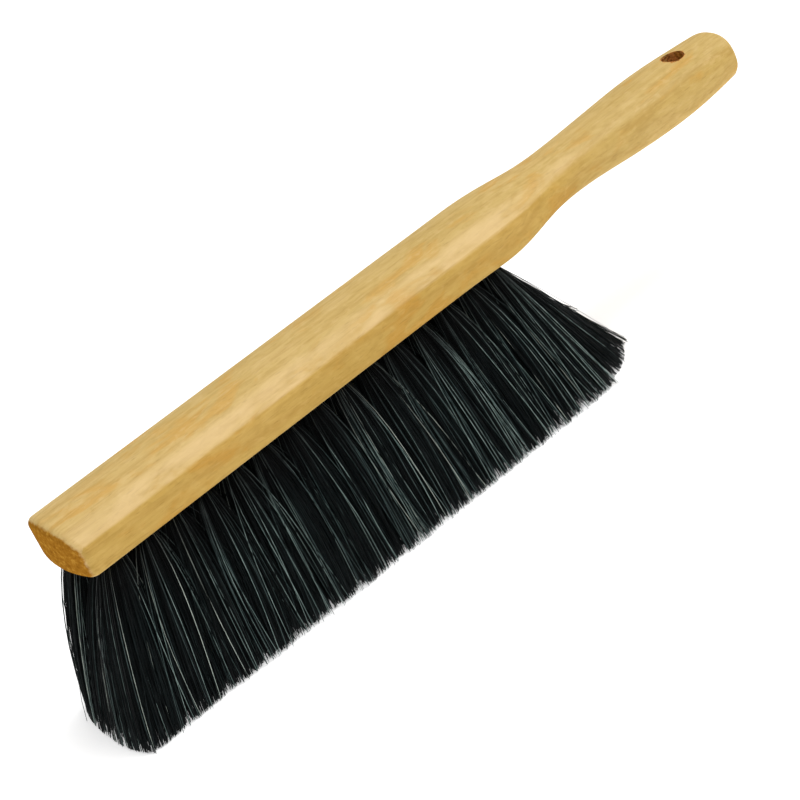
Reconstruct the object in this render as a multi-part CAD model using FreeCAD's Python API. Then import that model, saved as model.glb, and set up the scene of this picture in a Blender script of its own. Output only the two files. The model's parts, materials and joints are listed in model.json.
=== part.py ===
import FreeCAD, Part
import math
import os

# Bee brush: a one-piece hardwood block and handle with three staggered rows of staple-set tufts.
# Millimetres. +X runs along the handle, +Z is up, and the brush stands on its trimmed tips at Z = 0.
# Stations are measured along X from the nose of the block. Heights and depths "over the face" are
# measured up from the bristle face, the flat underside of the block. The origin is under the middle
# of the box that holds the whole brush.

Vector = FreeCAD.Vector

# ---- overall ----
TRIM = 68.0               # bristle length below the face
WOOD_LENGTH = 344.0       # nose to the end of the handle

# ---- block ----
BLOCK_HALF = 19.0         # half of the block's width
BLOCK_THICK = 19.0        # face to the top of the back
BACK_RISE = 7.7           # rise of the rounded back over the sides
BACK_EDGE = 3.6           # rounding between the back and the sides
FACE_EDGE = 1.4           # rounding between the sides and the face
NOSE_SET_BACK = 3.4       # how far the nose curves back to its corners, in plan
NOSE_CORNER = 4.0         # rounding of the nose's upright corners
NOSE_EDGE = 3.0           # easing of the arris round the nose

# ---- shoulder and handle, by evenly spaced sections ----
# half width, underside and top over the face, rise of the back, drop of the belly,
# rounding of the back's edges, rounding of the belly's edges
LOFT_START = 163.5
LOFT_STEP = 14.0
LEAD_IN = 2               # straight sections that steady the loft and are cut away again
BLOCK_SECTION = (BLOCK_HALF, 0.0, BLOCK_THICK, BACK_RISE, 0.0, BACK_EDGE, FACE_EDGE)
LOFT_SECTIONS = (
    BLOCK_SECTION,
    (19.0, -0.1, 19.0, 7.7, 0.0, 3.6, 1.4),
    (19.0, -0.5, 19.0, 7.7, 0.1, 3.6, 1.4),
    (19.0, -0.9, 18.9, 7.6, 0.2, 3.7, 1.6),
    (17.4, -1.3, 18.2, 7.0, 1.2, 4.4, 3.0),
    (14.9, -2.0, 17.0, 6.3, 3.0, 5.8, 5.4),
    (13.4, -2.6, 16.7, 5.6, 4.0, 7.0, 7.0),
    (13.6, -3.4, 16.9, 5.4, 4.6, 7.4, 7.4),
    (14.6, -4.4, 17.2, 5.4, 4.8, 7.8, 7.8),
    (15.7, -5.1, 17.5, 5.6, 5.0, 8.4, 8.4),
    (16.4, -5.3, 17.6, 5.8, 5.0, 8.8, 8.6),
    (16.2, -5.1, 17.2, 5.8, 5.0, 8.8, 8.6),
    (15.0, -4.4, 16.5, 5.6, 4.8, 8.4, 8.4),
    (13.2, -3.2, 15.5, 5.2, 4.4, 7.6, 7.6),
)

# ---- the rounded end of the handle ----
END_BOW = 26.0            # plan radius of the end
END_EDGE = 2.5            # rounding round the end
DOME_STATION = 326.5      # where the handle starts to round off
DOME_LENGTH = 22.0        # half axes of the ellipsoid that rounds it off
DOME_HALF = 17.5
DOME_TALL = 13.5

# ---- hang hole ----
HANG_RADIUS = 4.75
HANG_STATION = 320.0

# ---- tufts ----
PITCH = 12.7              # between tufts of one row
FIRST_TUFT = 15.5         # station of the first tuft of an outer row
ROW_SPACING = 11.5
OUTER_TUFTS = 15
MIDDLE_TUFTS = 14         # half a pitch out of step with the outer rows
HOLE_RADIUS = 3.5
HOLE_DEPTH = 10.0
MOUTH_RADIUS = 4.6        # countersink at the face
MOUTH_DEPTH = 1.1
NECK_RADIUS = 3.2         # tuft where it leaves its hole
ROOT_GAP = 0.35           # between the flexing tuft and its clamped root
ROOT_CLEARANCE = 0.02     # between a root and the wall of its hole

# ---- staples ----
WIRE_RADIUS = 0.45
STAPLE_HALF_SPAN = 2.3    # middle of the hole to the centre of a leg
CROSSING_DEPTH = 6.4      # depth over the face of the wire that crosses the tuft
POINT_DEPTH = 13.2        # depth of the legs' points, in solid wood
STAPLE_CLEARANCE = 0.04   # between the wire and the root

# ---- the trimmed tips: stations and half widths of their footprint ----
OUTER_TIPS = (-12.5, 230.0)
MIDDLE_TIPS = (-14.5, 247.5)
TIPS_HALF_FRONT = 23.0
TIPS_HALF_BACK = 28.0
MIDDLE_TIPS_HALF = 9.6
ROW_GAP = 2.2             # between the tips of two rows
TUFT_GAP = 0.8            # between neighbouring tips of one row
EVEN_FAN = 0.86           # share of the fanning that is spread evenly along a row

# row name, side of the block, tufts, station of the first tuft, stations of the tips' ends
ROWS = (
    ("near", -1, OUTER_TUFTS, FIRST_TUFT, OUTER_TIPS),
    ("middle", 0, MIDDLE_TUFTS, FIRST_TUFT + PITCH / 2, MIDDLE_TIPS),
    ("far", 1, OUTER_TUFTS, FIRST_TUFT, OUTER_TIPS),
)

X_SHIFT = -(MIDDLE_TIPS[0] + TUFT_GAP / 2 + WOOD_LENGTH) / 2


def arc(start, middle, end):
    return Part.Arc(start, middle, end).toShape()


def line(start, end):
    return Part.LineSegment(start, end).toShape()


def fillet_points(half, rise, radius):
    """Start, middle and end of the arc that joins an upright side to a bowed or flat edge, as the
    distance from the middle plane and the depth below the bow's highest point."""
    centre_out = half - radius
    if rise:
        bow_radius = (half ** 2 + rise ** 2) / (2 * rise)
        centre_depth = bow_radius - math.sqrt((bow_radius - radius) ** 2 - centre_out ** 2)
        sweep = math.atan2(bow_radius - centre_depth, centre_out)
    else:
        centre_depth = radius
        sweep = math.pi / 2
    points = []
    for angle in (0.0, sweep / 2, sweep):
        out = centre_out + radius * math.cos(angle)
        points.append((out, centre_depth - radius * math.sin(angle)))
    return points


def wood_section(station, half, under, over, rise, drop, back_radius, belly_radius):
    """One closed cross-section of the wood: back, two sides and underside, joined by arcs. A section
    with no drop has a flat underside, and with no belly rounding its lower corners are sharp."""
    def at(out, height):
        return Vector(station + X_SHIFT, out, TRIM + height)

    back = [(out, over - depth) for out, depth in fillet_points(half, rise, back_radius)]
    belly = [(out, under + depth) for out, depth in fillet_points(half, drop, belly_radius)]
    far_back = [at(out, height) for out, height in back]
    near_back = [at(-out, height) for out, height in back]
    far_belly = [at(out, height) for out, height in belly]
    near_belly = [at(-out, height) for out, height in belly]
    edges = [
        arc(near_back[2], at(0, over), far_back[2]),
        arc(far_back[2], far_back[1], far_back[0]),
        line(far_back[0], far_belly[0]),
    ]
    if belly_radius:
        edges.append(arc(far_belly[0], far_belly[1], far_belly[2]))
    if drop:
        edges.append(arc(far_belly[2], at(0, under), near_belly[2]))
    else:
        edges.append(line(far_belly[2], near_belly[2]))
    if belly_radius:
        edges.append(arc(near_belly[2], near_belly[1], near_belly[0]))
    edges += [
        line(near_belly[0], near_back[0]),
        arc(near_back[0], near_back[1], near_back[2]),
    ]
    return Part.Wire(edges)


def nose_outline():
    """The block's nose in plan as an upright solid: a shallow bow with rounded corners."""
    bow = (BLOCK_HALF ** 2 + NOSE_SET_BACK ** 2) / (2 * NOSE_SET_BACK)
    tall = 2 * (TRIM + BLOCK_THICK)
    disc = Part.makeCylinder(bow, tall, Vector(X_SHIFT + bow, 0, 0))
    tip = Part.makeBox(bow, 2 * BLOCK_HALF, tall, Vector(X_SHIFT - NOSE_SET_BACK, -BLOCK_HALF, 0))
    rest_start = bow - NOSE_SET_BACK
    rest = Part.makeBox(LOFT_START - rest_start, 2 * BLOCK_HALF, tall,
                        Vector(X_SHIFT + rest_start, -BLOCK_HALF, 0))
    outline = tip.common(disc).fuse(rest).removeSplitter()
    corners = []
    for edge in outline.Edges:
        box = edge.BoundBox
        upright = box.XLength < 0.01 and box.YLength < 0.01
        if upright and box.XMax < X_SHIFT + 2 * NOSE_SET_BACK:
            corners.append(edge)
    return outline.makeFillet(NOSE_CORNER, corners)


def block():
    """The straight block as far as the loft, with its arris eased round the nose and along the face."""
    face = Part.Face(wood_section(0.0, *BLOCK_SECTION[:-1], 0.0))
    solid = face.extrude(Vector(LOFT_START, 0, 0)).common(nose_outline())
    upper = []
    lower = []
    for edge in solid.Edges:
        box = edge.BoundBox
        if box.ZMax < TRIM + 0.01:
            if box.XMin < X_SHIFT + LOFT_START - 0.01:
                lower.append(edge)
        elif box.XMax < X_SHIFT + 3 * NOSE_SET_BACK and box.XLength + box.YLength > 0.01:
            upper.append(edge)
    return solid.makeFillet(FACE_EDGE, lower).makeFillet(NOSE_EDGE, upper)


def handle_end():
    """Everything that the handle may fill: up to the dome's middle all of it, and past that an
    ellipsoid with a bowed end."""
    last = LOFT_SECTIONS[-1]
    matrix = FreeCAD.Matrix()
    matrix.scale(Vector(DOME_LENGTH, DOME_HALF, DOME_TALL))
    matrix.move(Vector(DOME_STATION + X_SHIFT, 0, TRIM + (last[1] + last[2]) / 2))
    dome = Part.makeSphere(1.0).transformGeometry(matrix)
    centre = WOOD_LENGTH - END_BOW + X_SHIFT
    dome = dome.common(Part.makeCylinder(END_BOW, 3 * TRIM, Vector(centre, 0, 0)))
    edge_from = WOOD_LENGTH + X_SHIFT - 2 * END_EDGE
    rim = [edge for edge in dome.Edges if edge.BoundBox.XMin > edge_from]
    rim = [edge for edge in rim if edge.Length > DOME_HALF]
    dome = dome.makeFillet(END_EDGE, rim)
    before = Part.makeBox(DOME_STATION - LOFT_START, 4 * BLOCK_HALF, 3 * TRIM,
                          Vector(LOFT_START + X_SHIFT, -2 * BLOCK_HALF, 0))
    return before.fuse(dome)


def handle():
    """Shoulder and handle, from the end of the straight block."""
    wires = []
    for index, values in enumerate((BLOCK_SECTION,) * LEAD_IN + LOFT_SECTIONS):
        wires.append(wood_section(LOFT_START + (index - LEAD_IN) * LOFT_STEP, *values))
    return Part.makeLoft(wires, True, False).common(handle_end())


def tuft_hole(x, y):
    """One blind hole with its countersunk mouth, as the solid that the drill takes away."""
    bore = Part.makeCylinder(HOLE_RADIUS, HOLE_DEPTH, Vector(x, y, TRIM))
    mouth = Part.makeCone(MOUTH_RADIUS, HOLE_RADIUS, MOUTH_DEPTH, Vector(x, y, TRIM))
    skirt = Part.makeCylinder(MOUTH_RADIUS, MOUTH_DEPTH, Vector(x, y, TRIM - MOUTH_DEPTH))
    return bore.fuse(mouth).fuse(skirt)


def staple(x, y, radius):
    """One wire staple over the folded tuft: a crossing wire and two legs driven into the wood."""
    low = TRIM + CROSSING_DEPTH
    crossing = Part.makeCylinder(radius, 2 * STAPLE_HALF_SPAN, Vector(x - STAPLE_HALF_SPAN, y, low),
                                 Vector(1, 0, 0))
    solid = crossing
    for side in (-1, 1):
        foot = Vector(x + side * STAPLE_HALF_SPAN, y, low)
        leg = Part.makeCylinder(radius, POINT_DEPTH - CROSSING_DEPTH, foot)
        solid = solid.fuse([leg, Part.makeSphere(radius, foot)])
    return solid


def root(x, y):
    """The clamped part of one tuft, folded over its staple at the bottom of the hole."""
    low = NECK_RADIUS + ROOT_GAP
    top = HOLE_DEPTH - ROOT_CLEARANCE
    bundle = Part.makeCylinder(HOLE_RADIUS - ROOT_CLEARANCE, top - low, Vector(x, y, TRIM + low))
    return bundle.cut(staple(x, y, WIRE_RADIUS + STAPLE_CLEARANCE))


def tip_station(row_ends, share):
    """Station of the tips for a share of the row's length, from -1 at the front to 1 at the back:
    the row fans out evenly, and more strongly towards its ends."""
    middle = (row_ends[0] + row_ends[1]) / 2
    half = (row_ends[1] - row_ends[0]) / 2
    return middle + half * (EVEN_FAN * share + (1 - EVEN_FAN) * share ** 3)


def tip_ellipse(side, count, index, row_ends):
    """Centre and half axes of one tuft's trimmed tips."""
    start = tip_station(row_ends, 2 * index / count - 1)
    end = tip_station(row_ends, 2 * (index + 1) / count - 1)
    if side:
        along = (index + 0.5) / count
        outer = TIPS_HALF_FRONT + along * (TIPS_HALF_BACK - TIPS_HALF_FRONT)
        inner = MIDDLE_TIPS_HALF + ROW_GAP
        centre_y = side * (outer + inner) / 2
        half_y = (outer - inner) / 2
    else:
        centre_y = 0.0
        half_y = MIDDLE_TIPS_HALF
    return (start + end) / 2, centre_y, (end - start - TUFT_GAP) / 2, half_y


def ellipse_wire(x, y, half_x, half_y):
    """Closed ellipse at the tips, starting towards +X as the neck's circle does."""
    if half_x >= half_y:
        curve = Part.Ellipse(Vector(x, y, 0), half_x, half_y)
        return Part.Wire(curve.toShape())
    curve = Part.Ellipse(Vector(x, y, 0), half_y, half_x)
    edge = curve.toShape()
    edge.rotate(Vector(x, y, 0), Vector(0, 0, 1), -90)
    return Part.Wire(edge)


def tuft(x, y, ellipse):
    """The free part of one tuft: a fan from its neck to the trimmed tips, with a ball at the neck
    that turns in the mouth of the hole."""
    neck = Part.Wire(Part.makeCircle(NECK_RADIUS, Vector(x, y, TRIM)))
    centre_x, centre_y, half_x, half_y = ellipse
    tips = ellipse_wire(centre_x + X_SHIFT, centre_y, half_x, half_y)
    fan = Part.makeLoft([tips, neck], True, True)
    ball = Part.makeSphere(NECK_RADIUS, Vector(x, y, TRIM), Vector(0, 0, 1), 0, 90, 360)
    return fan.fuse(ball)


def main():
    os.makedirs("parts", exist_ok=True)
    wood = block().fuse(handle())
    holes = []
    pins = []
    for name, side, count, first, row_ends in ROWS:
        y = side * ROW_SPACING
        roots = []
        staples = []
        for index in range(count):
            x = first + index * PITCH + X_SHIFT
            holes.append(tuft_hole(x, y))
            roots.append(root(x, y))
            staples.append(staple(x, y, WIRE_RADIUS))
            solid = tuft(x, y, tip_ellipse(side, count, index, row_ends))
            solid.exportStep(f"parts/tuft_{name}_{index + 1:02d}.step")
        pins += staples
        Part.makeCompound(roots).exportStep(f"parts/roots_{name}.step")
        Part.makeCompound(staples).exportStep(f"parts/staples_{name}.step")
    holes.append(Part.makeCylinder(HANG_RADIUS, 3 * TRIM, Vector(HANG_STATION + X_SHIFT, 0, 0)))
    wood = wood.cut(holes).cut(pins)
    wood.exportStep("parts/block_and_handle.step")


main()
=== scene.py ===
import json
import math

import bpy
import numpy as np
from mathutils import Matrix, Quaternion, Vector


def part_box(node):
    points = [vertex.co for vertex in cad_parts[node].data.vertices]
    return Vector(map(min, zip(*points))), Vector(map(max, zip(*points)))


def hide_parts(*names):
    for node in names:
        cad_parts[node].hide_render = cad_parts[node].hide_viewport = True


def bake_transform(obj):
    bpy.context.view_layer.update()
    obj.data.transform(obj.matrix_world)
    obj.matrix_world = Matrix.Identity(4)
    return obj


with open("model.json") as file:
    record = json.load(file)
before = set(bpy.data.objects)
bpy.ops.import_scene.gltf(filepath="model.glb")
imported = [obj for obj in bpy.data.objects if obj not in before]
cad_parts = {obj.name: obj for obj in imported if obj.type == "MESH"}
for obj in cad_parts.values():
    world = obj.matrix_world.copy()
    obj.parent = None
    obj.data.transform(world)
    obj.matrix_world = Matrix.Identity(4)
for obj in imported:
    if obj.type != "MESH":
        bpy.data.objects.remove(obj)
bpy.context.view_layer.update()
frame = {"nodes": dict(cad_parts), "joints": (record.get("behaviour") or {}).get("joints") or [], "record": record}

MM = 0.001

# =====================================================================================
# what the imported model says
# =====================================================================================

wood = frame["nodes"]["block_and_handle"]
hang = next(m for m in frame["record"]["mounts"] if m["name"] == "hang_hole")
# the underside of the block, where the hair leaves its holes
face_z = next(j for j in frame["joints"] if j["name"] == "near_row_flex")["pos_m"][2]
ROWS = {"near": 15, "middle": 14, "far": 15}    # tufts in each row
SIDE = {"near": -1, "middle": 0, "far": 1}      # where each row lies along Y

# =====================================================================================
# node helpers
# =====================================================================================

# a Mix node's colour sockets share their names with its other sockets
MIX_FIRST, MIX_SECOND, MIX_RESULT = 6, 7, 2


class Nodes:
    """A material's node tree, with short calls for what the materials here need."""

    def __init__(self, name):
        self.material = bpy.data.materials.new(name)
        self.material.use_nodes = True
        self.tree = self.material.node_tree
        self.shader = self.tree.nodes["Principled BSDF"]

    def new(self, kind, **values):
        node = self.tree.nodes.new(kind)
        for key, value in values.items():
            setattr(node, key, value)
        return node

    def link(self, source, target):
        self.tree.links.new(source, target)

    def set(self, name, value):
        self.shader.inputs[name].default_value = value

    def coords(self, scale=(1, 1, 1), shift=(0, 0, 0)):
        texco = self.new("ShaderNodeTexCoord")
        mapping = self.new("ShaderNodeMapping")
        mapping.inputs["Scale"].default_value = scale
        mapping.inputs["Location"].default_value = shift
        self.link(texco.outputs["Object"], mapping.inputs["Vector"])
        return mapping.outputs["Vector"]

    def separate(self, vector):
        node = self.new("ShaderNodeSeparateXYZ")
        self.link(vector, node.inputs["Vector"])
        return node.outputs

    def noise(self, scale, shift=(0, 0, 0), detail=3.0, rough=0.5, distortion=0.0):
        """Noise in the object's own space, with its frequency along each axis, per metre."""
        node = self.new("ShaderNodeTexNoise")
        node.inputs["Scale"].default_value = 1.0
        node.inputs["Detail"].default_value = detail
        node.inputs["Roughness"].default_value = rough
        node.inputs["Distortion"].default_value = distortion
        self.link(self.coords(scale, shift), node.inputs["Vector"])
        return node.outputs["Fac"]

    def ramp(self, source, stops):
        node = self.new("ShaderNodeValToRGB")
        ramp = node.color_ramp
        ramp.interpolation = "EASE"
        while len(ramp.elements) < len(stops):
            ramp.elements.new(0.5)
        for element, (place, colour) in zip(ramp.elements, stops):
            element.position = place
            element.color = (*colour, 1)
        self.link(source, node.inputs["Fac"])
        return node.outputs["Color"]

    def grey(self, source, low, high):
        """0 at low and 1 at high, smooth in between. low may be the larger of the two."""
        node = self.new("ShaderNodeMapRange", interpolation_type="SMOOTHSTEP")
        node.inputs["From Min"].default_value = low
        node.inputs["From Max"].default_value = high
        self.link(source, node.inputs["Value"])
        return node.outputs["Result"]

    def math(self, kind, first, second=None):
        node = self.new("ShaderNodeMath", operation=kind)
        for socket, value in zip(node.inputs, (first, second)):
            if value is None:
                continue
            if isinstance(value, (int, float)):
                socket.default_value = value
            else:
                self.link(value, socket)
        return node.outputs["Value"]

    def times_plus(self, source, factor, added):
        return self.math("ADD", self.math("MULTIPLY", source, factor), added)

    def mix(self, factor, first, second, kind="MIX"):
        node = self.new("ShaderNodeMix", data_type="RGBA", blend_type=kind)
        self.link(factor, node.inputs["Factor"])
        for socket, value in ((node.inputs[MIX_FIRST], first), (node.inputs[MIX_SECOND], second)):
            if isinstance(value, tuple):
                socket.default_value = (*value, 1)
            else:
                self.link(value, socket)
        return node.outputs[MIX_RESULT]

    def bump(self, height, strength, distance, under=None):
        node = self.new("ShaderNodeBump")
        node.inputs["Strength"].default_value = strength
        node.inputs["Distance"].default_value = distance
        self.link(height, node.inputs["Height"])
        if under is not None:
            self.link(under, node.inputs["Normal"])
        return node.outputs["Normal"]


# =====================================================================================
# materials
# =====================================================================================

RING_SPACING_MM = 3.1
WAVE_PERIOD = 2 * math.pi / 20          # of Blender's wave texture at a scale of 1
RING_STRETCH = (25, 1000, 1000)         # to millimetres, and 40 times longer along the grain
PITH_SHIFT = (0, -0.046, -0.052)        # moves the pith to the origin of the rings
PITH_TURN = (0, math.radians(1.6), math.radians(-2.2))
NECK_FROM, NECK_TO = 0.060, 0.110       # where along X the block gives way to the handle
# tilts are those of the surface's normal: where a mask starts and where it is full
# painted shade on the sides: its tint, the tilts where it starts and is full, and its strength
SIDE_SHADE_TINT = (0.850, 0.755, 0.470)
SIDE_SHADE_TILT = (0.45, 0.92)
SIDE_SHADE_STRENGTH = (0.53, 0.32)            # what the block has above the handle, and the handle's
# painted highlight along the block's arris: its colour, where its mask starts and is full, and its strength
ARRIS_HIGHLIGHT_COLOUR = (0.760, 0.540, 0.270)
ARRIS_TILT_UP = (0.34, 0.52)            # coming from the back
ARRIS_TILT_DOWN = (0.86, 0.68)          # coming from the side
ARRIS_HIGHLIGHT_PATCHES = (0.60, 0.40)
ARRIS_HIGHLIGHT_STRENGTH = (0.36, 0.12)           # what its patches have above the rest, and the rest's
NOSE_TILT = (0.52, 0.84)
TAIL_TILT = (0.55, 1.0)
TAIL_STRENGTH = 0.35
END_GRAIN = [
    (0.34, (0.260, 0.105, 0.010)),
    (0.50, (0.360, 0.155, 0.016)),
    (0.66, (0.500, 0.250, 0.035)),
]
# painted shade in the hang hole's bore and on its ragged rim
HOLE_SHADE_COLOUR = [
    (0.38, (0.180, 0.060, 0.010)),
    (0.58, (0.620, 0.270, 0.070)),
]
RAGGED_NOSE = 0.55                      # how unevenly the end grain's colour stops at its edge
RAGGED_RIM = 0.0042                     # and the bore's
BORE_EDGE = (0.0006, 0.0001)            # where the bore's painted shade starts and is full, past its radius
ROUGHNESS = (0.40, 0.58)
VARNISH = 0.15                          # the coat's weight


def growth_rings(n):
    """Rings round a pith that runs nearly along the brush, beyond its far lower corner."""
    pith = n.new("ShaderNodeMapping")
    pith.inputs["Location"].default_value = PITH_SHIFT
    pith.inputs["Rotation"].default_value = PITH_TURN
    n.link(n.coords(), pith.inputs["Vector"])
    stretched = n.new("ShaderNodeMapping")
    stretched.inputs["Scale"].default_value = RING_STRETCH
    n.link(pith.outputs["Vector"], stretched.inputs["Vector"])
    rings = n.new("ShaderNodeTexWave", wave_type="RINGS", rings_direction="X")
    rings.inputs["Scale"].default_value = WAVE_PERIOD / RING_SPACING_MM
    rings.inputs["Distortion"].default_value = 5.0
    rings.inputs["Detail"].default_value = 3.0
    rings.inputs["Detail Scale"].default_value = 0.10
    n.link(stretched.outputs["Vector"], rings.inputs["Vector"])
    return rings.outputs["Fac"]


def distance_from_hang_hole(n):
    """Distance from the axis of the hang hole."""
    from_hole = n.new("ShaderNodeVectorMath", operation="SUBTRACT")
    from_hole.inputs[1].default_value = tuple(hang["pos_m"])
    n.link(n.coords(), from_hole.inputs[0])
    flat = n.new("ShaderNodeVectorMath", operation="MULTIPLY")
    flat.inputs[1].default_value = (1, 1, 0)
    n.link(from_hole.outputs["Vector"], flat.inputs[0])
    distance = n.new("ShaderNodeVectorMath", operation="LENGTH")
    n.link(flat.outputs["Vector"], distance.inputs[0])
    return distance.outputs["Value"]


def hardwood():
    """Pale, straight-grained wood under a thin clear varnish, with darker end grain on the nose."""
    n = Nodes("varnished_hardwood")
    facing = n.separate(n.new("ShaderNodeNewGeometry").outputs["Normal"])
    sideways = n.math("ABSOLUTE", facing["Y"])
    on_block = n.grey(n.separate(n.coords())["X"], NECK_TO, NECK_FROM)

    rings = growth_rings(n)
    drift = n.noise((11, 40, 40), (2, 5, 3), rough=0.55)
    streak = n.noise((9, 230, 230), (5, 2, 8), rough=0.6)
    fibre = n.noise((60, 1100, 1100), (3, 1, 2), detail=4.0, rough=0.65)
    pore = n.noise((190, 1700, 1700), (7, 5, 1), detail=2.0)
    patch = n.noise((40, 95, 95), (1, 9, 4), rough=0.55, distortion=0.5)
    mottle = n.noise((170, 420, 420), (6, 2, 9), rough=0.6, distortion=0.4)
    ragged = n.noise((260, 420, 420), detail=4.0, rough=0.65)
    speckle = n.noise((420, 520, 520), detail=5.0, rough=0.7)
    unevenness = n.math("SUBTRACT", ragged, 0.5)

    base = n.ramp(drift, [
        (0.30, (0.538, 0.372, 0.125)),
        (0.50, (0.582, 0.407, 0.146)),
        (0.70, (0.614, 0.426, 0.163)),
    ])
    # each layer's noise, where it starts and where it is full, its strength and its colour
    layers = (
        (rings, 0.62, 0.98, 0.22, (0.437, 0.266, 0.074)),
        (streak, 0.52, 0.70, 0.20, (0.422, 0.249, 0.067)),
        (streak, 0.46, 0.30, 0.18, (0.672, 0.494, 0.210)),
        (patch, 0.51, 0.66, 0.60, (0.585, 0.325, 0.074)),
        (patch, 0.47, 0.33, 0.35, (0.660, 0.470, 0.200)),
        (mottle, 0.50, 0.66, 0.32, (0.440, 0.290, 0.090)),
        (mottle, 0.47, 0.34, 0.30, (0.690, 0.500, 0.225)),
        (fibre, 0.50, 0.74, 0.36, (0.370, 0.217, 0.060)),
        (fibre, 0.46, 0.28, 0.26, (0.690, 0.518, 0.232)),
        (pore, 0.62, 0.76, 0.30, (0.240, 0.125, 0.036)),
    )
    for source, start, full, strength, colour in layers:
        base = n.mix(n.math("MULTIPLY", n.grey(source, start, full), strength), base, colour)

    # painted shade: the sides are painted darker and yellower by the tilt of their normal, those of the block more
    # so than the handle's
    # painted shade, by how far the surface faces sideways
    side = n.math("MULTIPLY", n.grey(sideways, *SIDE_SHADE_TILT), n.times_plus(on_block, *SIDE_SHADE_STRENGTH))
    base = n.mix(side, base, SIDE_SHADE_TINT, "MULTIPLY")

    # the arris between the back and a side of the block is sanded round, and a painted highlight makes it paler in
    # places
    arris = n.math("MULTIPLY", n.grey(sideways, *ARRIS_TILT_UP), n.grey(sideways, *ARRIS_TILT_DOWN))
    arris_highlight_share = n.times_plus(n.grey(patch, *ARRIS_HIGHLIGHT_PATCHES), *ARRIS_HIGHLIGHT_STRENGTH)
    arris_highlight_share = n.math("MULTIPLY", arris_highlight_share, on_block)
    # painted highlight: the arris is mixed towards a paler colour
    base = n.mix(n.math("MULTIPLY", arris, arris_highlight_share), base, ARRIS_HIGHLIGHT_COLOUR)

    # end grain drinks the varnish: on the whole nose, and faintly on the end of the handle
    edge = n.math("SUBTRACT", n.math("MULTIPLY", unevenness, RAGGED_NOSE), facing["X"])
    nose = n.grey(edge, *NOSE_TILT)
    tail = n.math("MULTIPLY", n.grey(facing["X"], *TAIL_TILT), TAIL_STRENGTH)
    end_grain = n.math("MAXIMUM", nose, tail)
    base = n.mix(end_grain, base, n.ramp(speckle, END_GRAIN))

    # the hang hole: painted shade darkens the bore and its ragged rim
    torn = n.math("MULTIPLY", unevenness, RAGGED_RIM)
    from_axis = n.math("ADD", distance_from_hang_hole(n), torn)
    bore = hang["dims"]["r_mm"] * MM
    hole = n.grey(from_axis, bore + BORE_EDGE[0], bore + BORE_EDGE[1])
    base = n.mix(hole, base, n.ramp(speckle, HOLE_SHADE_COLOUR))
    n.link(base, n.shader.inputs["Base Color"])

    rough = n.new("ShaderNodeMapRange")
    rough.inputs["To Min"].default_value = ROUGHNESS[0]
    rough.inputs["To Max"].default_value = ROUGHNESS[1]
    n.link(fibre, rough.inputs["Value"])
    n.link(rough.outputs["Result"], n.shader.inputs["Roughness"])
    grain = n.bump(fibre, 0.16, 0.0002)
    n.link(n.bump(streak, 0.14, 0.0006, grain), n.shader.inputs["Normal"])
    # all the gloss is the varnish's
    n.link(n.math("MULTIPLY", n.grey(end_grain, 1.0, 0.0), VARNISH), n.shader.inputs["Coat Weight"])
    n.set("Coat Roughness", 0.35)
    n.set("Specular IOR Level", 0.0)
    return n.material


ROOT_SHADE_AT = (0.030, 0.004)          # how far below the block it starts and is full
ROOT_SHADE = 0.88


def hair(name, dark, light, roughness, gloss):
    """Hair of one tone: the colour drifts along each hair and from hair to hair, and painted shade darkens it
    towards the root, under the block."""
    n = Nodes(name)
    along = n.noise((900, 900, 60), detail=2.0)
    height = n.separate(n.coords())["Z"]
    near_root = n.grey(height, face_z - ROOT_SHADE_AT[0], face_z - ROOT_SHADE_AT[1])
    tone = n.ramp(along, [(0.35, dark), (0.65, light)])
    # painted shade under the block: the hair is mixed towards black near its root
    tone = n.mix(n.math("MULTIPLY", near_root, ROOT_SHADE), tone, (0.0, 0.0, 0.0))
    n.link(tone, n.shader.inputs["Base Color"])
    n.set("Roughness", roughness)
    n.set("Specular IOR Level", gloss)
    return n.material


def wire():
    n = Nodes("staple_wire")
    streak = n.noise((400, 400, 400))
    n.link(n.ramp(streak, [(0.3, (0.40, 0.40, 0.39)), (0.7, (0.66, 0.66, 0.64))]),
           n.shader.inputs["Base Color"])
    n.set("Metallic", 1.0)
    n.set("Roughness", 0.32)
    return n.material


def floor_material():
    """White, and faintly bright by itself, which takes nearly all of the shadow away."""
    n = Nodes("floor")
    speck = n.noise((3, 3, 3), detail=2.0)
    n.link(n.ramp(speck, [(0.3, (0.92, 0.92, 0.92)), (0.7, (0.94, 0.94, 0.94))]),
           n.shader.inputs["Base Color"])
    n.set("Roughness", 0.9)
    n.set("Specular IOR Level", 0.1)
    n.set("Emission Color", (1, 1, 1, 1))
    n.set("Emission Strength", 0.40)
    return n.material


WOOD = hardwood()
WIRE = wire()
# name, darkest and lightest colour, roughness, specular level
HAIR = [
    hair("hair_jet", (0.0008, 0.0020, 0.0024), (0.0024, 0.0046, 0.0050), 0.50, 0.10),
    hair("hair_blue_black", (0.0028, 0.0066, 0.0070), (0.0080, 0.0145, 0.0150), 0.50, 0.14),
    hair("hair_dark_grey", (0.018, 0.036, 0.035), (0.055, 0.088, 0.084), 0.45, 0.25),
    hair("hair_grey", (0.100, 0.155, 0.144), (0.240, 0.325, 0.300), 0.45, 0.4),
    hair("hair_ivory", (0.30, 0.36, 0.32), (0.50, 0.56, 0.49), 0.45, 0.4),
]
HAIR_SHARE = [0.66, 0.311, 0.013, 0.013, 0.003]
FIRST_PALE = 2                          # hair_dark_grey and those after it


def paint(node, material):
    for index in range(len(node.data.materials)):
        node.data.materials[index] = material


paint(wood, WOOD)
for row in ROWS:
    paint(frame["nodes"][f"staples_{row}"], WIRE)
    paint(frame["nodes"][f"roots_{row}"], HAIR[0])

# =====================================================================================
# hair: lengths in metres
# =====================================================================================

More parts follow.
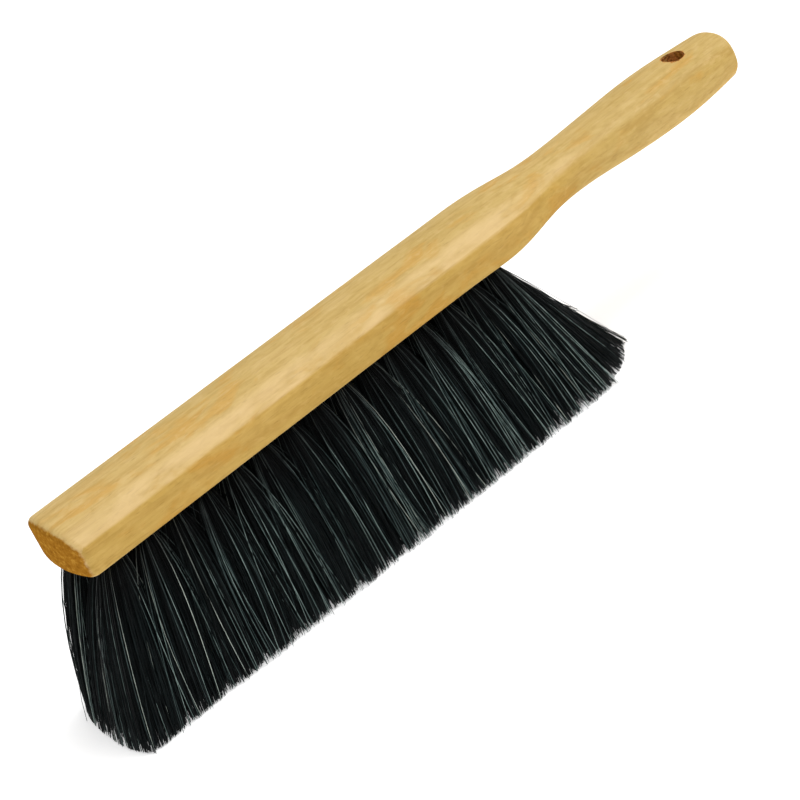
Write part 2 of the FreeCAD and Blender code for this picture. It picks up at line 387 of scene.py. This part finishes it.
# one hair
HAIRS_PER_TUFT = 1100
POINTS = 9                              # along a hair
CORNERS = 3                             # round a hair
RADIUS = 0.00013
RADIUS_SPREAD = (0.85, 1.2)
TAPER = 0.10
NO_HAIR_RUNS_ALONG = (0.31, 0.95, 0.05)

# a tuft
ROOT_DEPTH = 0.0030                     # how far up its hole the visible hair starts
BUNDLE = 0.0030                         # radius of the bundle of hair in its hole
PITCH = 0.0127                          # between the tufts of one row
ROW_SPACING = 0.0115
ON_PLANE = 0.0003                       # vertices this close to a plane count as on it
CELL_GAPS = (0.0004, 0.0011)            # half the gaps between the CAD tufts' tips, along and across
CROWDING = 0.38                         # below 0.5, hairs crowd at the outside of the tuft
OUTSIDE = 1.05                          # how far out the pale hairs lie, as a share of its radius
FAN_POWER = 3.4                         # how soon a tuft meets its neighbours on the way down
FREE_SIDE = (0.6, 0.2)                  # what is left of that at the front and at the rear of a row

# locks of a tuft, and single hairs
CLUMPS = 24
DRAWN_TO_LOCK = (0.05, 0.35)
SCATTER = 0.05                          # as a share of the tuft's radius
LOCK_BEND = 0.0011
HAIR_BEND = 0.0006
UNEVEN_CUT = 0.0004
TIP_SCATTER = 0.0003
WANDER = [0.0008, 0.0035, 0.0090]       # how far hairs cross each other along the row
WANDER_SHARE = [0.70, 0.24, 0.06]
PALE_WANDER = 0.0035
STRAY = [0.0002, 0.0006, 0.0014]        # how far single hairs wave out of their lock
STRAY_SHARE = [0.74, 0.22, 0.04]
STRAY_TURNS = (0.6, 1.5)
STRAY_FADE = 1.3                        # waves are largest at half this share of a hair
BOW = (0.40, 0.05)                      # how soon a hair leans to its tip, at the front and at the rear
BOW_SPREAD = 0.08

# the outline of all the tips
FRONT_ROUND = 0.006                     # how far it curves back at the front and at the rear
REAR_ROUND = 0.029
FRONT_REACH = 0.12                      # share of a row that follows the curve at each end
REAR_REACH = 0.40
REAR_INSET = 0.0025                     # how far the tips at the rear stay inside the CAD tufts
ELLIPSE_LIMIT = 0.985                   # keeps the curve from turning straight back at the sides
OUTER_PUSH = (0.0010, 0.0030)           # how far the outermost tips spread past the CAD tufts
PUSH_REACH = (0.10, 0.35)               # the shares of a row where that changes

# one lock in the last tuft of each row missed the shears and curls: its length as a share of a
# hair's, how far its end turns up and how far it turns out
CURLS = {
    "near": (1.0, 0.0006, 0.0030),
    "middle": (0.78, 0.0020, 0.0022),
    "far": (0.62, 0.0075, 0.0010),
}
CURL_SPREAD = (0.6, 1.0)
CURL_POWER = 3                          # how much of the turn comes at the very end
CURL_SIDE = 0.5                         # the curling lock is the rearmost, leaning to the far side

rng = np.random.default_rng(20489)

tips_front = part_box("tuft_middle_01")[0][0]
tips_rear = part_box("tuft_middle_14")[1][0] - REAR_INSET
tips_half_front = -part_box("tuft_near_01")[0][1]
tips_half_rear = -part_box("tuft_near_15")[0][1]


def square_from_disc(disc):
    """Spreads points of the unit disc over the unit square, keeping neighbours together."""
    u, v = disc[:, 0], disc[:, 1]
    root = 2 * np.sqrt(2)
    across = np.sqrt(np.maximum(2 + u * u - v * v + root * u, 0))
    back = np.sqrt(np.maximum(2 + u * u - v * v - root * u, 0))
    up = np.sqrt(np.maximum(2 - u * u + v * v + root * v, 0))
    down = np.sqrt(np.maximum(2 - u * u + v * v - root * v, 0))
    return np.stack([(across - back) / 2, (up - down) / 2], 1)


def round_setback(y, half):
    """0 on the middle line and nearly 1 at the sides, along a quarter of an ellipse."""
    return 1 - np.sqrt(1 - np.minimum(np.abs(y) / half, ELLIPSE_LIMIT) ** 2)


def round_ends(tip, row):
    """Shifts the tips of a row along X, so that the outline of all the tips has round ends."""
    row_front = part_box(f"tuft_{row}_01")[0][0]
    row_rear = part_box(f"tuft_{row}_{ROWS[row]:02d}")[1][0]
    share = (tip[:, 0] - row_front) / (row_rear - row_front)
    front = tips_front + FRONT_ROUND * round_setback(tip[:, 1], tips_half_front)
    rear = tips_rear - REAR_ROUND * round_setback(tip[:, 1], tips_half_rear)
    at_front = np.clip(1 - share / FRONT_REACH, 0, 1) ** 2
    at_rear = np.clip((share - 1 + REAR_REACH) / REAR_REACH, 0, 1)
    x = tip[:, 0] + (front - row_front) * at_front + (rear - row_rear) * at_rear
    return np.stack([np.clip(x, front, rear), tip[:, 1]], 1)


def tuft_cell(node, row):
    """The middle of a CAD tuft where it leaves its hole, and the middle and half the size of the
    share of the trimmed plane that is its own."""
    mesh = frame["nodes"][node].data
    points = np.array([v.co for v in mesh.vertices])
    neck = points[np.abs(points[:, 2] - face_z) < ON_PLANE]
    tips = points[points[:, 2] < ON_PLANE]
    neck_centre = ((neck.min(0) + neck.max(0)) / 2)[:2]
    tip_centre = ((tips.min(0) + tips.max(0)) / 2)[:2]
    tip_half = ((tips.max(0) - tips.min(0)) / 2)[:2] + np.array(CELL_GAPS)
    if row != "middle":
        tip_half[1] -= CELL_GAPS[1] / 2
        tip_centre[1] -= SIDE[row] * CELL_GAPS[1] / 2
    return neck_centre, tip_centre, tip_half


def places_in_tuft(kinds):
    """The hairs' places in the unit disc, the middles of the locks, and each hair's lock. Hairs are
    drawn a little towards the middle of their lock, and pale ones, which show best, lie outside."""
    count = len(kinds)
    angle = rng.uniform(0, 2 * np.pi, count)
    reach = rng.uniform(0, 1, count) ** CROWDING
    disc = np.stack([np.cos(angle), np.sin(angle)], 1) * reach[:, None]
    middles = disc[rng.choice(count, CLUMPS, replace=False)]
    lock = np.argmin(((disc[:, None] - middles[None]) ** 2).sum(2), axis=1)
    drawn = disc + (middles[lock] - disc) * rng.uniform(*DRAWN_TO_LOCK, (count, 1))
    drawn = drawn + rng.normal(0, SCATTER, (count, 2))
    size = np.linalg.norm(drawn, axis=1, keepdims=True)
    pale = (kinds >= FIRST_PALE)[:, None]
    drawn = drawn / np.where(pale, size / OUTSIDE, np.maximum(1.0, size))
    return drawn, middles, lock


def tuft_paths(node, row, along_row, kinds):
    """Centre lines of one tuft's hairs, from inside its hole to the trimmed tips. along_row is the
    tuft's place in its row, from 0 at the front to 1 at the rear."""
    neck_centre, tip_centre, tip_half = tuft_cell(node, row)
    count = len(kinds)
    drawn, middles, lock = places_in_tuft(kinds)
    square = square_from_disc(drawn / OUTSIDE) * OUTSIDE
    lock_bend = rng.uniform(-LOCK_BEND, LOCK_BEND, (CLUMPS, 2))[lock]
    bend = lock_bend + rng.uniform(-HAIR_BEND, HAIR_BEND, (count, 2))
    lock_length = rng.uniform(0, UNEVEN_CUT, CLUMPS)[lock]

    # where the hair starts, how far it fans out until it meets its neighbours', and its tip
    root = drawn * BUNDLE / OUTSIDE
    met = square * np.array([PITCH, ROW_SPACING]) / 2
    if along_row == 0:
        met[met[:, 0] < 0, 0] *= FREE_SIDE[0]
    if along_row == 1:
        met[met[:, 0] > 0, 0] *= FREE_SIDE[1]
    tip = tip_centre + square * tip_half
    push = np.interp(along_row, PUSH_REACH, OUTER_PUSH)
    tip[:, 1] += SIDE[row] * push * np.clip(SIDE[row] * square[:, 1], 0, 1)
    tip = tip + rng.normal(0, TIP_SCATTER, (count, 2))
    wander = rng.choice(WANDER, count, p=WANDER_SHARE)
    wander = np.where(kinds >= FIRST_PALE, np.maximum(wander, PALE_WANDER), wander)
    tip[:, 0] += rng.normal(0, 1, count) * wander
    lean = round_ends(tip, row) - neck_centre

    curled = np.zeros(count, bool)
    if along_row == 1:
        curled = lock == np.argmax(middles[:, 0] + CURL_SIDE * middles[:, 1])
    length, turned_up, turned_out = CURLS[row]
    s = np.linspace(0, 1, POINTS)[None, :, None] * np.where(curled, length, 1.0)[:, None, None]
    fast = 1 - (1 - s) ** FAN_POWER
    bow = BOW[0] + along_row * (BOW[1] - BOW[0]) + rng.uniform(-BOW_SPREAD, BOW_SPREAD, (count, 1, 1))
    path = np.zeros((count, POINTS, 3))
    path[:, :, :2] = (neck_centre + root[:, None] * (1 - fast) + met[:, None] * fast * (1 - s)
                      + lean[:, None] * (s + bow * s * (1 - s)))
    path[:, :, :2] += bend[:, None] * np.sin(np.pi * s)
    direction = rng.normal(0, 1, (count, 1, 2))
    stray = direction * rng.choice(STRAY, (count, 1, 1), p=STRAY_SHARE)
    turns = rng.uniform(*STRAY_TURNS, (count, 1, 1))
    phase = rng.uniform(0, 2 * np.pi, (count, 1, 1))
    wave = np.sin(2 * np.pi * turns * s + phase) - np.sin(phase)
    path[:, :, :2] += stray * wave * s * (STRAY_FADE - s)
    end = lock_length + rng.uniform(0, UNEVEN_CUT, count)
    top = face_z + ROOT_DEPTH
    path[:, :, 2] = top + (end - top)[:, None] * s[:, :, 0]
    turning = (np.linspace(0, 1, POINTS) ** CURL_POWER)[None] * rng.uniform(*CURL_SPREAD, (count, 1))
    path[curled, :, 0] += turned_out * turning[curled]
    path[curled, :, 2] += turned_up * turning[curled]
    return neck_centre, path


def tube_mesh(name, path, radius, kinds):
    """One mesh of closed three-sided tubes along the paths, each with the material of its kind."""
    count = len(path)
    along = np.gradient(path, axis=1)
    along /= np.linalg.norm(along, axis=2, keepdims=True)
    side = np.cross(along, np.array(NO_HAIR_RUNS_ALONG))
    side /= np.linalg.norm(side, axis=2, keepdims=True)
    other = np.cross(along, side)
    turn = rng.uniform(0, 2 * np.pi, count)
    thickness = radius[:, None] * (1.0 - TAPER * np.linspace(0, 1, POINTS))[None]
    rings = []
    for corner in range(CORNERS):
        angle = turn + corner * 2 * np.pi / CORNERS
        offset = np.cos(angle)[:, None, None] * side + np.sin(angle)[:, None, None] * other
        rings.append(path + offset * thickness[:, :, None])
    vertices = np.stack(rings, 2).reshape(-1, 3)
    vertices[:, 2] = np.maximum(vertices[:, 2], 0.0)

    first = (np.arange(count) * POINTS * CORNERS)[:, None]
    last = first + (POINTS - 1) * CORNERS
    base = first[:, :, None]
    ring = (np.arange(POINTS - 1) * CORNERS)[None, :, None]
    corner = np.arange(CORNERS)[None, None, :]
    after = (corner + 1) % CORNERS
    quads = np.stack(np.broadcast_arrays(base + ring + corner, base + ring + after,
                                         base + ring + CORNERS + after,
                                         base + ring + CORNERS + corner), -1)
    quads = quads.reshape(-1, 4)
    forward = np.arange(CORNERS)[None]
    caps = np.concatenate([last + forward, first + forward[:, ::-1]])
    loops = np.concatenate([quads.ravel(), caps.ravel()])
    cap_starts = len(quads) * 4 + np.arange(len(caps)) * CORNERS
    starts = np.concatenate([np.arange(len(quads)) * 4, cap_starts])
    slots = np.concatenate([np.repeat(kinds, (POINTS - 1) * CORNERS), kinds, kinds])

    mesh = bpy.data.meshes.new(name)
    mesh.vertices.add(len(vertices))
    mesh.vertices.foreach_set("co", vertices.astype(np.float32).ravel())
    mesh.loops.add(len(loops))
    mesh.loops.foreach_set("vertex_index", loops.astype(np.int32))
    mesh.polygons.add(len(starts))
    mesh.polygons.foreach_set("loop_start", starts.astype(np.int32))
    mesh.polygons.foreach_set("material_index", slots.astype(np.int32))
    for material in HAIR:
        mesh.materials.append(material)
    mesh.update(calc_edges=True)
    mesh.validate()
    mesh.shade_smooth()
    return mesh


def build_hair(name, node, row, along_row):
    count = HAIRS_PER_TUFT
    kinds = rng.choice(len(HAIR), count, p=np.array(HAIR_SHARE) / sum(HAIR_SHARE))
    neck_centre, path = tuft_paths(node, row, along_row, kinds)
    radius = RADIUS * rng.uniform(*RADIUS_SPREAD, count)
    piece = bpy.data.objects.new(name, tube_mesh(name, path, radius, kinds))
    bpy.context.collection.objects.link(piece)
    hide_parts(node)
    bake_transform(piece)


for row, count in ROWS.items():
    for index in range(1, count + 1):
        place = (index - 1) / (count - 1)
        build_hair(f"hair_{row}_{index:02d}", f"tuft_{row}_{index:02d}", row, place)

# =====================================================================================
# floor, light and camera
# =====================================================================================

FLOOR_SIZE = 8
WORLD_STRENGTH = 0.50
LIT_POINT = (0, 0, 0.05)

bpy.ops.mesh.primitive_plane_add(size=FLOOR_SIZE, location=(0, 0, 0))
floor = bpy.context.object
floor.name = "floor"
floor.data.materials.append(floor_material())

scene = bpy.context.scene
scene.view_settings.view_transform = "Standard"
world = bpy.data.worlds.new("studio")
scene.world = world
world.use_nodes = True
world.node_tree.nodes["Background"].inputs["Color"].default_value = (1, 1, 1, 1)
world.node_tree.nodes["Background"].inputs["Strength"].default_value = WORLD_STRENGTH


def area_light(name, place, size, power):
    """A square area light that looks at the middle of the brush."""
    data = bpy.data.lights.new(name, "AREA")
    data.shape = "RECTANGLE"
    data.size = size
    data.size_y = size
    data.energy = power
    lamp = bpy.data.objects.new(name, data)
    bpy.context.collection.objects.link(lamp)
    lamp.location = place
    lamp.rotation_mode = "QUATERNION"
    lamp.rotation_quaternion = (Vector(LIT_POINT) - Vector(place)).to_track_quat("-Z", "Y")


area_light("key", place=(1.9, -0.8, 4.5), size=3.0, power=182)
area_light("fill", place=(-2.4, -3.0, 1.6), size=2.0, power=12)

CAMERA_AZIMUTH = math.radians(-28.4)
CAMERA_ELEVATION = math.radians(30.5)
CAMERA_ROLL = math.radians(-22.9)
CAMERA_DISTANCE = 0.69
CAMERA_TARGET = Vector((-0.04445, -0.04646, 0.06746))
CAMERA_LENS = 90
CAMERA_SENSOR = 36
CAMERA_CLIP = 0.05

camera_data = bpy.data.cameras.new("camera")
camera_data.lens = CAMERA_LENS
camera_data.sensor_width = CAMERA_SENSOR
camera_data.clip_start = CAMERA_CLIP
camera = bpy.data.objects.new("camera", camera_data)
bpy.context.collection.objects.link(camera)
back = Vector((
    math.sin(CAMERA_AZIMUTH) * math.cos(CAMERA_ELEVATION),
    -math.cos(CAMERA_AZIMUTH) * math.cos(CAMERA_ELEVATION),
    math.sin(CAMERA_ELEVATION),
))
camera.location = CAMERA_TARGET + back * CAMERA_DISTANCE
camera.rotation_mode = "QUATERNION"
level = (-back).to_track_quat("-Z", "Y")
camera.rotation_quaternion = level @ Quaternion((0, 0, 1), CAMERA_ROLL)
scene.camera = camera
